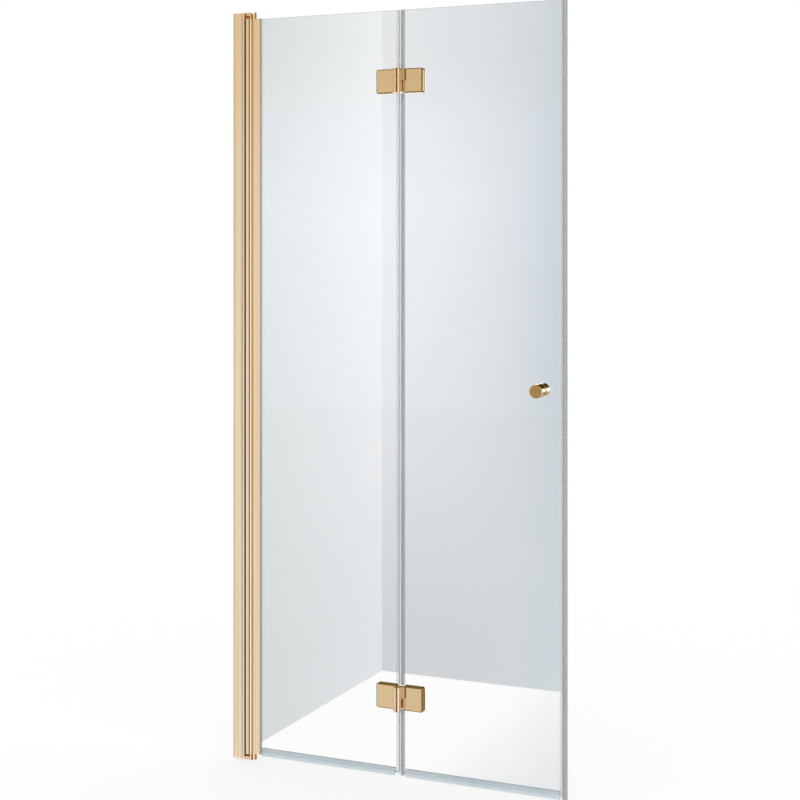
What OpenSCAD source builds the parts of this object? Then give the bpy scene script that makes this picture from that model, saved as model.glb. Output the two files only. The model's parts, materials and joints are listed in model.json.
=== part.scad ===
// Two-pane folding shower door on a wall post, in millimetres, shown closed.
// X = 0 is the wall face, Y = 0 the middle of the glass, Z = 0 the lower end of the post.
// The outside of the shower lies towards -Y. The door turns on a vertical axis at the post and
// folds on a second vertical axis, in front of the gap between the two panes.

/* [Wall post] */
// Length of the post and of the channel behind it
post_h = 1893; // [1500:1:2200]
// Depth of the post, out from the wall
post_d = 28; // [27:0.5:40]
// Width of the post, across the door
post_w = 40; // [39:0.5:43]
// Wall of the post's extrusion
post_wall = 2; // [1.5:0.1:2.5]
// Radius of the post's two outer corners
post_corner_r = 2.5; // [2.2:0.1:4]
// Reach of the thin rims beside the door's seat, beyond the face of the post
rim_reach = 4.5; // [3:0.5:5]
// Step down from the post's sides to those rims
rim_step = 2.5; // [2.3:0.1:3]
// Radius of the post's two edges beside the wall
post_back_r = 5.5; // [5:0.1:6]
// Width of the lips that turn in along the wall
lip_w = 4; // [3:0.1:5]
// Web and flange thickness of the wall channel
channel_wall = 2.5; // [2:0.1:2.7]
// Reach of the channel's flanges, out from the wall
channel_reach = 20; // [18:0.5:21]
// Sliding gap between the channel and the lips
slide_gap = 0.2; // [0.1:0.05:0.5]
// Distance of the outer wall screws from the channel's ends
wall_screw_inset = 96.5; // [60:0.5:150]
// Distance between the two inner wall screws
wall_screw_span = 560; // [400:1:700]
// Radius of the wall screw holes
wall_screw_hole_r = 3; // [2.5:0.1:3.5]

/* [Pivot] */
// Distance of the pivot axis beyond the face of the post
pivot_off = 19.5; // [18.5:0.5:20.5]
// Radius of the door profile's round nose
nose_r = 22; // [21.8:0.1:22.4]
// Running gap between the nose and the post's hollow seat
seat_gap = 0.5; // [0.3:0.1:0.8]
// Radius of the pivot pins
pivot_pin_r = 5; // [4:0.5:6]
// Length of pin inside each pivot bush
pin_engage = 25; // [18:1:28]
// Height of each pivot bush
bush_h = 30; // [28:1:45]
// Radius of the round bosses that hold the pins
boss_r = 10; // [9:0.5:12]
// Distance that the lower bearing block's arm stands out past the post's end
lower_proud = 5; // [3:0.5:6]
// Distance that the upper bearing block's arm stands out past the post's end
upper_proud = 2; // [1.5:0.5:5]
// Thickness of the plates that close the post's ends
end_plate_t = 1.5; // [1:0.1:1.5]
// Thickness of the bearing blocks' arms
arm_t = 8; // [6:0.5:9]
// Width of the bearing blocks' arms at the post
arm_w = 22; // [18:1:23]
// Height of the plug that each bearing block has inside the post
plug_h = 30; // [25:1:40]
// Metal left beyond the end of each pivot pin
boss_floor = 6.5; // [6:0.1:7.5]
// Depth of the V notch across the end of the upper boss
notch_d = 5; // [3:0.5:5]
// Width of the V notch
notch_w = 8; // [6:0.5:10]
// Thickness of the thrust washers
washer_t = 0.8; // [0.5:0.1:1.5]

/* [Door profile] */
// Gap below the door profile, up from the post's lower end
door_gap_low = 12; // [10:1:16]
// Gap above the door profile, down from the post's upper end
door_gap_high = 15; // [12:1:18]
// Radius of the rounded shoulder between the nose and the glass clamp
shoulder_r = 8; // [7:0.5:8]
// Distance from the pivot axis back to the middle of those shoulders
shoulder_off = 2; // [0:0.5:2.5]
// Reach of the glass clamp's outer lip from the pivot axis
clamp_reach = 27.5; // [26.5:0.5:34]
// Reach of its inner lip, behind the glass
back_reach = 20; // [18.5:0.5:26]
// Wall of the door profile's extrusion
profile_wall = 2; // [1.5:0.1:2.2]
// Radius of the two edges beside the glass
clamp_edge_r = 1.5; // [1:0.1:2]
// Thickness of each glazing gasket
gasket_t = 6; // [5:0.1:6.2]
// Clearance of the plugs inside the extrusions
plug_gap = 0.2; // [0.1:0.05:0.3]
// Thickness of the blocks behind the glass edge
setting_t = 2.5; // [1.5:0.5:4]

/* [Glass] */
// Thickness of both panes
glass_t = 6; // [5:0.5:7]
// Width of the pane on the post's side, with the part inside the profile
hinge_pane_w = 396.5; // [300:0.5:500]
// Width of the folding pane
fold_pane_w = 410.5; // [300:0.5:500]
// Gap between the panes
pane_gap = 7; // [6:0.5:8]
// Height of the lower glass edge above the end of the door profile
glass_lift = 4.5; // [3:0.5:10]

/* [Fold hinges] */
// Height of the lower hinge above the lower glass edge
hinge_inset_low = 184; // [100:1:400]
// Distance of the upper hinge below the upper glass edge
hinge_inset_high = 174; // [100:1:400]
// Height of the hinge leaves
leaf_h = 60; // [50:1:80]
// Reach of the leaves from the fold axis
leaf_reach = 62; // [52:1:70]
// Distance of the leaves' inner edges from the fold axis
leaf_inner = 8.5; // [8:0.1:9.5]
// Distance from the fold axis to the thin webs that close the leaves in behind the barrel
web_inner = 2.5; // [2:0.1:4]
// Thickness of the leaves
leaf_t = 7; // [6:0.5:9]
// Corner radius of the leaves
leaf_corner_r = 5; // [4:0.5:8]
// Bevel round the leaves' outer faces
leaf_bevel = 3; // [1:0.5:3]
// Radius of the hinge barrel
barrel_r = 9.5; // [8.5:0.1:10]
// Gap between the barrel and the face of the leaves
barrel_gap = 1.5; // [0.5:0.1:3]
// Thickness of the pads between metal and glass
pad_t = 1; // [0.5:0.1:1.5]
// Radius of the hinge pin
hinge_pin_r = 4; // [3:0.5:4.5]
// Distance between the two screws of a leaf
clamp_screw_span = 32; // [28:1:36]
// Distance of the screws from the fold axis
clamp_screw_off = 38; // [30:1:44]
// Radius of the screws
clamp_screw_r = 2.5; // [2:0.5:3]
// Radius of the screw holes in the glass
glass_hole_r = 6; // [5:0.5:7]

/* [Knob] */
// Distance of the knob from the free glass edge
knob_inset = 57; // [40:1:90]
// Height of the knob above the lower glass edge
knob_height = 945; // [700:1:1200]
// Radius of the knobs
knob_r = 16; // [12:0.5:20]
// Length of each knob
knob_len = 27; // [20:0.5:30]
// Radius of the stud through the glass
stud_r = 3; // [2.5:0.5:4]
// Depth of the stud in each knob
stud_depth = 15; // [10:1:17]

/* [Seals] */
// Wall of the clear seals
seal_wall = 1.2; // [0.8:0.1:1.2]
// Height of the bottom seals' grip on the glass
bottom_grip = 10; // [8:0.5:14]
// Distance from the lower glass edge to the tip of the wiper
wiper_drop = 9; // [7:0.5:12]
// Width of the fold seal's grip on the folding pane
fold_grip = 7; // [6:0.5:9]
// Overlap of the fold seal's fin over the other pane
fin_overlap = 9; // [5:0.5:10]
// Width of the strike seal's grip on the free glass edge
strike_grip = 6.4; // [5:0.1:9]
// Radius of the strike seal's hollow bulb
bulb_r = 5; // [4:0.1:6]

/* [Hidden] */
$fn = 96;

gold = [0.84, 0.71, 0.50];
deep_gold = [0.80, 0.65, 0.42];
steel = [0.72, 0.73, 0.74];
nylon = [0.90, 0.89, 0.86];
grey_rubber = [0.55, 0.57, 0.58];
clear_vinyl = [0.80, 0.85, 0.88, 0.6];
clear_glass = [0.78, 0.86, 0.88, 0.35];

// Fits: a turning pin, a pin or screw held fast, and a soft part that only has to clear
run_fit = 0.06;
fast_fit = 0.03;
screw_fit = 0.1;
soft_gap = 0.3;
end_play = 0.1;
rim = 0.01;

// Overlap where two shapes of one piece are joined
bite = 1;

// Room in a blind hole beyond the tip of its screw
tip_room = 2.6;
// Depth and radius of a screw's socket, as shares of the head's height and radius
socket_depth = 0.7;
socket_width = 0.42;

// Post and pivot
pivot_x = post_d + pivot_off;
seat_r = nose_r + seat_gap;
channel_half = post_w / 2 - lip_w - slide_gap;
flange_inner = channel_half - channel_wall;
post_middle_x = post_d / 2;
post_screw_r = 1.95;
post_screw_head_r = 4;
post_screw_head_h = 2.4;
post_screw_inset = 120;
post_screw_zs = [post_screw_inset, post_h / 2, post_h - post_screw_inset];

// Door profile
door_z0 = door_gap_low;
door_z1 = post_h - door_gap_high;
clamp_w = post_w - 2 * shoulder_r;
shoulder_x = pivot_x - shoulder_off;
clamp_x = pivot_x + clamp_reach;
back_x = pivot_x + back_reach;
slot_w = glass_t + 2 * gasket_t;
chamber_w = clamp_w - 2 * profile_wall - 1;
chamber_reach = pivot_pin_r + 2.5;
slot_x = pivot_x + chamber_reach + profile_wall;
bush_screw_x = shoulder_x - 3.5;
bush_screw_r = 1.75;
bush_screw_len = 12;
bush_screw_head_r = 3.4;
bush_screw_zs = [door_z0 + bush_h / 2, door_z1 - bush_h / 2];

// Panes
glass_half = glass_t / 2;
hinge_pane_x0 = slot_x + setting_t;
gasket_x0 = hinge_pane_x0 + 3;
gasket_slope = 1;
hinge_pane_x1 = hinge_pane_x0 + hinge_pane_w;
fold_pane_x0 = hinge_pane_x1 + pane_gap;
fold_pane_x1 = fold_pane_x0 + fold_pane_w;
glass_z0 = door_z0 + glass_lift;
glass_z1 = door_z1;

// Bearing blocks: the boss ends one washer short of the door profile
lower_boss_h = lower_proud + door_gap_low - washer_t - 2 * end_play;
upper_boss_h = upper_proud + door_gap_high - washer_t - 2 * end_play;
notch_angle = 24;
block_plug_x0 = channel_wall + soft_gap;
block_plug_x1 = pivot_x - seat_r - post_wall - soft_gap;
block_screw_len = post_w / 2 + 1;
block_hole_y0 = post_w / 2 + post_screw_head_h - block_screw_len - tip_room;

// Fold hinges, measured from the fold axis, with y towards the inside
fold_x = (hinge_pane_x1 + fold_pane_x0) / 2;
leaf_y0 = barrel_r + barrel_gap;
leaf_y1 = leaf_y0 + leaf_t;
glass_y0 = leaf_y1 + pad_t;
glass_y1 = glass_y0 + glass_t;
clamp_y0 = glass_y1 + pad_t;
clamp_y1 = clamp_y0 + leaf_t;
fold_y = -(glass_y0 + glass_half);
lower_hinge_z = glass_z0 + hinge_inset_low;
upper_hinge_z = glass_z1 - hinge_inset_high;
knuckle_gap = 0.5;
knuckle_chamfer = 0.8;
pin_reach = leaf_h / 2 - 4;
knuckle_washer_t = 2 * (knuckle_gap - end_play);
clamp_screw_bite = 5;
clamp_screw_head_r = 4.7;
clamp_screw_head_h = 2.8;
clamp_screw_zs = [-clamp_screw_span / 2, clamp_screw_span / 2];
knuckle_arm_x0 = 1.5;
knuckle_arm_x1 = 16;
knuckle_arm_bite = 3;
web_t = 3;
pad_margin = 0.5;

// Knob
knob_x = fold_pane_x1 - knob_inset;
knob_z = glass_z0 + knob_height;
knob_bevel = 0.8;
knob_washer_r = knob_r - 1.5;
knob_y0 = glass_half + pad_t;
set_screw_r = 2;
set_screw_recess = 1.5;
set_screw_socket = 2.5;
set_screw_y = knob_y0 + stud_depth / 2;

// Seals
seal_fit = 0.05;
seal_slot_half = glass_half + seal_fit;
seal_half = seal_slot_half + seal_wall;
seal_z0 = glass_z0 - wiper_drop;
fold_seal_z0 = seal_z0 + 2;
seal_end_gap = 3;
drip_reach = 5;
drip_edge = 0.8;
bulb_wall = 0.8 * seal_wall;
hinge_clear = leaf_h / 2 + 0.6;
seal_spans = [
    [fold_seal_z0, lower_hinge_z - hinge_clear],
    [lower_hinge_z + hinge_clear, upper_hinge_z - hinge_clear],
    [upper_hinge_z + hinge_clear, glass_z1]
];

// Placing helpers

// Extrudes an outline drawn in Y and Z from x0 to x1
module along_x(x0, x1) {
    translate([x0, 0, 0]) rotate([90, 0, 90]) linear_extrude(x1 - x0) children();
}

// Extrudes an outline drawn in X and Y from z0 to z1
module along_z(z0, z1) {
    translate([0, 0, z0]) linear_extrude(z1 - z0) children();
}

// Box with X from x0 to x1, Y from -half to half, in two dimensions
module band(x0, x1, half) {
    translate([x0, -half]) square([x1 - x0, 2 * half]);
}

// Round bar along +Y from y0 to y1 at a place in X and Z
module bar_y(x, z, y0, y1, r) {
    translate([x, y0, z]) rotate([-90, 0, 0]) cylinder(h = y1 - y0, r = r);
}

// Puts its children at the upper end of the post, upside down
module at_top() {
    translate([0, 0, post_h]) mirror([0, 0, 1]) children();
}

// Puts its children at the fold axis, at the height of a hinge
module at_hinge(z) {
    translate([fold_x, fold_y, z]) children();
}

// Turns a left half of a hinge into the right half, which has the upper knuckle
module right_half() {
    rotate([0, 180, 0]) children();
}

// Screw along -Y with its head's top at y = 0, a countersunk or a pan head, and a hexagon socket
module screw(len, r, head_r, head_h, countersunk) {
    socket_r = socket_width * head_r;
    difference() {
        rotate([90, 0, 0]) union() {
            cylinder(h = head_h, r1 = head_r, r2 = countersunk ? r : head_r);
            cylinder(h = len, r = r);
        }
        translate([0, rim, 0]) rotate([90, 0, 0]) cylinder(h = head_h * socket_depth, r = socket_r, $fn = 6);
    }
}

// Hole for a countersunk screw, along -Y from y = 0
module countersink(len, r, head_r, head_h) {
    rotate([90, 0, 0]) union() {
        translate([0, 0, -rim]) cylinder(h = head_h, r1 = head_r + screw_fit, r2 = r + screw_fit);
        translate([0, 0, -rim]) cylinder(h = len + 2 * rim, r = r + screw_fit);
    }
}

// Wall post and channel

module post_section() {
    difference() {
        union() {
            band(post_back_r, post_d - post_corner_r, post_w / 2);
            band(post_middle_x, post_d, post_w / 2 - post_corner_r);
            band(post_middle_x, post_d + rim_reach, post_w / 2 - rim_step);
            for (side = [-1, 1]) {
                translate([post_d - post_corner_r, side * (post_w / 2 - post_corner_r)]) {
                    circle(post_corner_r);
                }
                translate([post_back_r, side * (post_w / 2 - post_back_r)]) circle(post_back_r);
            }
        }
        difference() {
            union() {
                band(post_back_r, post_d - post_wall, post_w / 2 - post_wall);
                for (side = [-1, 1]) {
                    translate([post_back_r, side * (post_w / 2 - post_back_r)]) {
                        circle(post_back_r - post_wall);
                    }
                }
            }
            translate([pivot_x, 0]) circle(seat_r + post_wall);
        }
        band(-rim, post_back_r + rim, post_w / 2 - lip_w);
        translate([pivot_x, 0]) circle(seat_r);
    }
}

module wall_post() {
    color(gold) difference() {
        along_z(0, post_h) post_section();
        for (z = post_screw_zs) {
            bar_y(post_middle_x, z, channel_half, post_w / 2 + rim, post_screw_r + screw_fit);
        }
        for (z = [plug_h / 2, post_h - plug_h / 2]) {
            bar_y(post_middle_x, z, channel_half, post_w / 2 + rim, post_screw_r + screw_fit);
        }
    }
}

module wall_channel() {
    color(steel) difference() {
        along_z(0, post_h) difference() {
            band(0, channel_reach, channel_half);
            band(channel_wall, channel_reach + rim, flange_inner);
        }
        for (z = [wall_screw_inset, post_h - wall_screw_inset]) wall_screw_hole(z);
        for (side = [-1, 1]) wall_screw_hole(post_h / 2 + side * wall_screw_span / 2);
        for (z = concat(post_screw_zs, [plug_h / 2, post_h - plug_h / 2])) {
            bar_y(post_middle_x, z, flange_inner - rim, channel_half + rim, post_screw_r + fast_fit);
        }
    }
}

module wall_screw_hole(z) {
    translate([-rim, 0, z]) rotate([0, 90, 0]) cylinder(h = channel_wall + 2 * rim, r = wall_screw_hole_r);
}

module post_screw(len) {
    screw(len, post_screw_r, post_screw_head_r, post_screw_head_h, false);
}

// Each screw goes through the post's inner side into the channel's flange
module post_screws() {
    len = post_w / 2 - flange_inner + post_screw_head_h + 2;
    color(gold) for (z = post_screw_zs) {
        translate([post_middle_x, post_w / 2 + post_screw_head_h, z]) post_screw(len);
    }
}

module bearing_block_screws() {
    color(gold) for (z = [plug_h / 2, post_h - plug_h / 2]) {
        translate([post_middle_x, post_w / 2 + post_screw_head_h, z]) post_screw(block_screw_len);
    }
}

// Bearing blocks, drawn for the lower end

// Outline from x0 to the round boss, narrowing from the face of the post
module arm_section(x0) {
    boss_side = boss_r - 0.6;
    difference() {
        polygon([
            [lip_w, -arm_w / 2], [post_d, -arm_w / 2], [pivot_x, -boss_side],
            [pivot_x, boss_side], [post_d, arm_w / 2], [lip_w, arm_w / 2]
        ]);
        band(lip_w - 1, x0, post_w);
    }
    translate([pivot_x, 0]) circle(boss_r);
}

module bearing_block(height, proud) {
    difference() {
        union() {
            along_z(-end_plate_t, 0) arm_section(lip_w);
            along_z(-proud, arm_t - proud) arm_section(post_d + soft_gap);
            along_z(-proud, height - proud) translate([pivot_x, 0]) circle(boss_r);
            along_z(-end_plate_t / 2, plug_h) band(block_plug_x0, block_plug_x1, flange_inner - soft_gap);
        }
        translate([pivot_x, 0, boss_floor - proud]) cylinder(h = height, r = pivot_pin_r + fast_fit);
        bar_y(post_middle_x, plug_h / 2, block_hole_y0, post_w / 2, post_screw_r + fast_fit);
    }
}

module lower_bearing_block() {
    color(deep_gold) bearing_block(lower_boss_h, lower_proud);
}

// The upper boss has a V notch across its end, for a setting key
module upper_bearing_block() {
    color(deep_gold) at_top() difference() {
        bearing_block(upper_boss_h, upper_proud);
        translate([pivot_x, 0, -upper_proud]) rotate([90, 0, notch_angle]) {
            translate([0, 0, -2 * boss_r]) linear_extrude(4 * boss_r) polygon([
                [-notch_w / 2, -rim], [notch_w / 2, -rim], [0, notch_d]
            ]);
        }
    }
}

module pivot_pin(height, proud) {
    z0 = boss_floor - proud;
    z1 = height - proud + washer_t + 2 * end_play + pin_engage;
    translate([pivot_x, 0, z0]) cylinder(h = z1 - z0, r = pivot_pin_r);
}

module lower_pivot_pin() {
    color(steel) pivot_pin(lower_boss_h, lower_proud);
}

module upper_pivot_pin() {
    color(steel) at_top() pivot_pin(upper_boss_h, upper_proud);
}

module thrust_washer(gap) {
    translate([pivot_x, 0, gap - end_play - washer_t]) difference() {
        cylinder(h = washer_t, r = boss_r);
        translate([0, 0, -rim]) cylinder(h = washer_t + 2 * rim, r = pivot_pin_r + 2 * run_fit);
    }
}

module lower_thrust_washer() {
    color(nylon) thrust_washer(door_gap_low);
}

module upper_thrust_washer() {
    color(nylon) at_top() thrust_washer(door_gap_high);
}

// Door profile

// Hollow round the pivot, and the outline of what fits in it when inset is over zero
module chamber_section(inset) {
    intersection() {
        translate([pivot_x, 0]) circle(nose_r - profile_wall - inset);
        band(0, shoulder_x + rim, post_w / 2 - profile_wall - inset);
    }
    band(shoulder_x - bite, pivot_x + chamber_reach - inset, chamber_w / 2 - inset);
    for (side = [-1, 1]) {
        translate([shoulder_x, side * clamp_w / 2]) circle(shoulder_r - profile_wall - inset);
    }
}

// One side of the glass clamp, from the shoulder to its rounded edge beside the glass
module clamp_side(side, end_x) {
    half = clamp_w / 2;
    for (part = [[end_x - clamp_edge_r, half], [end_x, half - clamp_edge_r]]) {
        translate([shoulder_x, side > 0 ? -bite : -part[1]]) square([part[0] - shoulder_x, part[1] + bite]);
    }
    translate([end_x - clamp_edge_r, side * (half - clamp_edge_r)]) circle(clamp_edge_r);
}

module door_section() {
    difference() {
        union() {
            intersection() {
                translate([pivot_x, 0]) circle(nose_r);
                band(0, shoulder_x + rim, post_w / 2);
            }
            for (side = [-1, 1]) translate([shoulder_x, side * clamp_w / 2]) circle(shoulder_r);
            clamp_side(-1, clamp_x);
            clamp_side(1, back_x);
        }
        chamber_section(0);
        band(slot_x, clamp_x + rim, slot_w / 2);
    }
}

module door_profile() {
    color(gold) difference() {
        along_z(door_z0, door_z1) door_section();
        for (z = bush_screw_zs) {
            translate([bush_screw_x, post_w / 2, z]) {
                countersink(profile_wall, bush_screw_r, bush_screw_head_r, profile_wall);
            }
        }
    }
}

module pivot_bush(gap) {
    difference() {
        along_z(gap, gap + bush_h) difference() {
            chamber_section(plug_gap);
            translate([pivot_x, 0]) circle(pivot_pin_r + run_fit);
        }
        translate([bush_screw_x, post_w / 2, gap + bush_h / 2]) rotate([90, 0, 0]) {
            cylinder(h = bush_screw_len, r = bush_screw_r + fast_fit);
        }
    }
}

module lower_pivot_bush() {
    color(nylon) pivot_bush(door_gap_low);
}

module upper_pivot_bush() {
    color(nylon) at_top() pivot_bush(door_gap_high);
}

module pivot_bush_screws() {
    color(gold) for (z = bush_screw_zs) {
        translate([bush_screw_x, post_w / 2, z]) {
            screw(bush_screw_len, bush_screw_r, bush_screw_head_r, profile_wall, true);
        }
    }
}

// Gasket of one side, with its outer end sloping back from the glass
module glazing_gasket(side, end_x) {
    y0 = glass_half;
    y1 = slot_w / 2 - plug_gap / 2;
    along_z(door_z0, door_z1) polygon([
        [gasket_x0, side * y0], [end_x, side * y0], [end_x, side * (y0 + gasket_slope)],
        [end_x - gasket_slope, side * y1], [gasket_x0, side * y1]
    ]);
}

module front_glazing_gasket() {
    color(grey_rubber) glazing_gasket(-1, clamp_x);
}

module back_glazing_gasket() {
    color(grey_rubber) glazing_gasket(1, back_x);
}

module glass_setting_blocks() {
    block_h = 60;
    color(nylon) for (z = [glass_z0 + 2 * block_h, glass_z1 - 3 * block_h]) {
        along_z(z, z + block_h) band(slot_x, hinge_pane_x0, glass_half);
    }
}

// Block at the profile's lower end that carries the glass
module glass_carrier_block() {
    color(nylon) along_z(door_z0, glass_z0) union() {
        band(slot_x + plug_gap, gasket_x0 - plug_gap, slot_w / 2 - plug_gap);
        band(slot_x + plug_gap, clamp_x - plug_gap, glass_half - plug_gap);
    }
}

// Panes

module screw_holes(x) {
    for (hinge_z = [lower_hinge_z, upper_hinge_z], z = clamp_screw_zs) {
        bar_y(x, hinge_z + z, -glass_t, glass_t, glass_hole_r);
    }
}

module hinge_pane() {
    color(clear_glass) difference() {
        along_z(glass_z0, glass_z1) band(hinge_pane_x0, hinge_pane_x1, glass_half);
        screw_holes(fold_x - clamp_screw_off);
    }
}

module fold_pane() {
    color(clear_glass) difference() {
        along_z(glass_z0, glass_z1) band(fold_pane_x0, fold_pane_x1, glass_half);
        screw_holes(fold_x + clamp_screw_off);
        bar_y(knob_x, knob_z, -glass_t, glass_t, glass_hole_r);
    }
}

// Fold hinges, left halves round the fold axis

module rounded_rect(w, h, r) {
    translate([r, 0]) square([w - 2 * r, h]);
    translate([0, r]) square([w, h - 2 * r]);
    for (x = [r, w - r], y = [r, h - r]) translate([x, y]) circle(r);
}

module bevel_section(w, b) {
    polygon([[b, 0], [w - b, 0], [w, b], [0, b]]);
}

// Slab from z = 0 to t with rounded corners and a bevel b round its face at z = 0
module bevelled_slab(w, h, t, r, b) {
    translate([0, 0, b]) linear_extrude(t - b) rounded_rect(w, h, r);
    for (x = [r, w - r], y = [r, h - r]) translate([x, y, 0]) cylinder(h = b, r1 = r - b, r2 = r);
    translate([r, 0, 0]) rotate([90, 0, 90]) linear_extrude(w - 2 * r) bevel_section(h, b);
    translate([0, h - r, 0]) rotate([90, 0, 0]) linear_extrude(h - 2 * r) bevel_section(w, b);
}

// Slab of the left leaf, with its bevelled face at y = 0 and its thickness towards +y
module leaf_slab() {
    translate([-leaf_reach, 0, -leaf_h / 2]) mirror([0, 1, 0]) rotate([90, 0, 0]) {
        bevelled_slab(leaf_reach - leaf_inner, leaf_h, leaf_t, leaf_corner_r, leaf_bevel);
    }
}

module knuckle() {
    h = leaf_h / 2 - knuckle_gap;
    translate([0, 0, -leaf_h / 2]) union() {
        cylinder(h = knuckle_chamfer, r1 = barrel_r - knuckle_chamfer, r2 = barrel_r);
        translate([0, 0, knuckle_chamfer]) cylinder(h = h - knuckle_chamfer, r = barrel_r);
    }
}

// Outer leaf with the lower knuckle, the arm that joins them and the web behind the barrel
module hinge_leaf(bore_r) {
    difference() {
        union() {
            translate([0, leaf_y0, 0]) leaf_slab();
            translate([-leaf_inner - bite, leaf_y1 - web_t, leaf_corner_r - leaf_h / 2]) {
                cube([leaf_inner + bite - web_inner, web_t, leaf_h - 2 * leaf_corner_r]);
            }
            knuckle();
            translate([-knuckle_arm_x1, barrel_r / 2, -leaf_h / 2 + knuckle_chamfer]) {
                cube([
                    knuckle_arm_x1 - knuckle_arm_x0, leaf_y0 + knuckle_arm_bite - barrel_r / 2,
                    leaf_h / 2 - knuckle_gap - knuckle_chamfer
                ]);
            }
        }
        translate([0, 0, -pin_reach]) cylinder(h = leaf_h, r = bore_r);
        for (z = clamp_screw_zs) {
            bar_y(-clamp_screw_off, z, leaf_y1 - clamp_screw_bite, leaf_y1 + rim, clamp_screw_r + fast_fit);
        }
    }
}

module hinge_clamp() {
    difference() {
        translate([0, clamp_y1, 0]) mirror([0, 1, 0]) leaf_slab();
        for (z = clamp_screw_zs) {
            translate([-clamp_screw_off, clamp_y1, z]) {
                countersink(leaf_t, clamp_screw_r, clamp_screw_head_r, clamp_screw_head_h);
            }
        }
    }
}

module hinge_pads() {
    pad_w = leaf_reach - leaf_inner - pad_margin - 2;
    for (y = [leaf_y1, glass_y1]) difference() {
        translate([pad_margin - leaf_reach, y + pad_t, pad_margin - leaf_h / 2]) rotate([90, 0, 0]) {
            linear_extrude(pad_t) rounded_rect(pad_w, leaf_h - 2 * pad_margin, leaf_corner_r);
        }
        for (z = clamp_screw_zs) {
            bar_y(-clamp_screw_off, z, y - rim, y + pad_t + rim, clamp_screw_r + screw_fit);
        }
    }
}

module hinge_sleeves() {
    for (z = clamp_screw_zs) difference() {
        bar_y(-clamp_screw_off, z, glass_y0, glass_y1, glass_hole_r - screw_fit);
        bar_y(-clamp_screw_off, z, glass_y0 - rim, glass_y1 + rim, clamp_screw_r + screw_fit);
    }
}

module hinge_screws() {
    len = clamp_y1 - leaf_y1 + clamp_screw_bite - 0.5;
    for (z = clamp_screw_zs) translate([-clamp_screw_off, clamp_y1, z]) {
        screw(len, clamp_screw_r, clamp_screw_head_r, clamp_screw_head_h, true);
    }
}

module hinge_pin() {
    translate([0, 0, -pin_reach + end_play]) cylinder(h = 2 * (pin_reach - end_play), r = hinge_pin_r);
}

module hinge_washer() {
    difference() {
        translate([0, 0, -knuckle_washer_t / 2]) cylinder(h = knuckle_washer_t, r = barrel_r - 0.3);
        translate([0, 0, -knuckle_washer_t]) cylinder(h = 2 * knuckle_washer_t, r = hinge_pin_r + run_fit);
    }
}

module lower_hinge_left_leaf() {
    color(deep_gold) at_hinge(lower_hinge_z) hinge_leaf(hinge_pin_r + run_fit);
}

module lower_hinge_left_clamp() {
    color(deep_gold) at_hinge(lower_hinge_z) hinge_clamp();
}

module lower_hinge_left_pads() {
    color(clear_vinyl) at_hinge(lower_hinge_z) hinge_pads();
}

module lower_hinge_left_sleeves() {
    color(nylon) at_hinge(lower_hinge_z) hinge_sleeves();
}

module lower_hinge_left_screws() {
    color(deep_gold) at_hinge(lower_hinge_z) hinge_screws();
}

module lower_hinge_right_leaf() {
    color(deep_gold) at_hinge(lower_hinge_z) right_half() hinge_leaf(hinge_pin_r + fast_fit);
}

module lower_hinge_right_clamp() {
    color(deep_gold) at_hinge(lower_hinge_z) right_half() hinge_clamp();
}

module lower_hinge_right_pads() {
    color(clear_vinyl) at_hinge(lower_hinge_z) right_half() hinge_pads();
}

module lower_hinge_right_sleeves() {
    color(nylon) at_hinge(lower_hinge_z) right_half() hinge_sleeves();
}

module lower_hinge_right_screws() {
    color(deep_gold) at_hinge(lower_hinge_z) right_half() hinge_screws();
}

module lower_hinge_pin() {
    color(steel) at_hinge(lower_hinge_z) hinge_pin();
}

module lower_hinge_washer() {
    color(nylon) at_hinge(lower_hinge_z) hinge_washer();
}

module upper_hinge_left_leaf() {
    color(deep_gold) at_hinge(upper_hinge_z) hinge_leaf(hinge_pin_r + run_fit);
}

module upper_hinge_left_clamp() {
    color(deep_gold) at_hinge(upper_hinge_z) hinge_clamp();
}

module upper_hinge_left_pads() {
    color(clear_vinyl) at_hinge(upper_hinge_z) hinge_pads();
}

module upper_hinge_left_sleeves() {
    color(nylon) at_hinge(upper_hinge_z) hinge_sleeves();
}

module upper_hinge_left_screws() {
    color(deep_gold) at_hinge(upper_hinge_z) hinge_screws();
}

module upper_hinge_right_leaf() {
    color(deep_gold) at_hinge(upper_hinge_z) right_half() hinge_leaf(hinge_pin_r + fast_fit);
}

module upper_hinge_right_clamp() {
    color(deep_gold) at_hinge(upper_hinge_z) right_half() hinge_clamp();
}

module upper_hinge_right_pads() {
    color(clear_vinyl) at_hinge(upper_hinge_z) right_half() hinge_pads();
}

module upper_hinge_right_sleeves() {
    color(nylon) at_hinge(upper_hinge_z) right_half() hinge_sleeves();
}

module upper_hinge_right_screws() {
    color(deep_gold) at_hinge(upper_hinge_z) right_half() hinge_screws();
}

module upper_hinge_pin() {
    color(steel) at_hinge(upper_hinge_z) hinge_pin();
}

module upper_hinge_washer() {
    color(nylon) at_hinge(upper_hinge_z) hinge_washer();
}

// Knob, drawn for the inner side with y away from the glass

module knob_body() {
    difference() {
        translate([knob_x, knob_y0, knob_z]) rotate([-90, 0, 0]) union() {
            cylinder(h = knob_bevel, r1 = knob_r - knob_bevel, r2 = knob_r);
            translate([0, 0, knob_bevel]) cylinder(h = knob_len - 2 * knob_bevel, r = knob_r);
            translate([0, 0, knob_len - knob_bevel]) {
                cylinder(h = knob_bevel, r1 = knob_r, r2 = knob_r - knob_bevel);
            }
        }
        bar_y(knob_x, knob_z, knob_y0 - rim, knob_y0 + stud_depth, stud_r + fast_fit);
    }
}

module outer_knob() {
    color(deep_gold) mirror([0, 1, 0]) knob_body();
}

module inner_knob() {
    color(deep_gold) difference() {
        knob_body();
        translate([knob_x, set_screw_y, knob_z - knob_r - 1]) {
            cylinder(h = knob_r + 1, r = set_screw_r + fast_fit);
        }
    }
}

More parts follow.
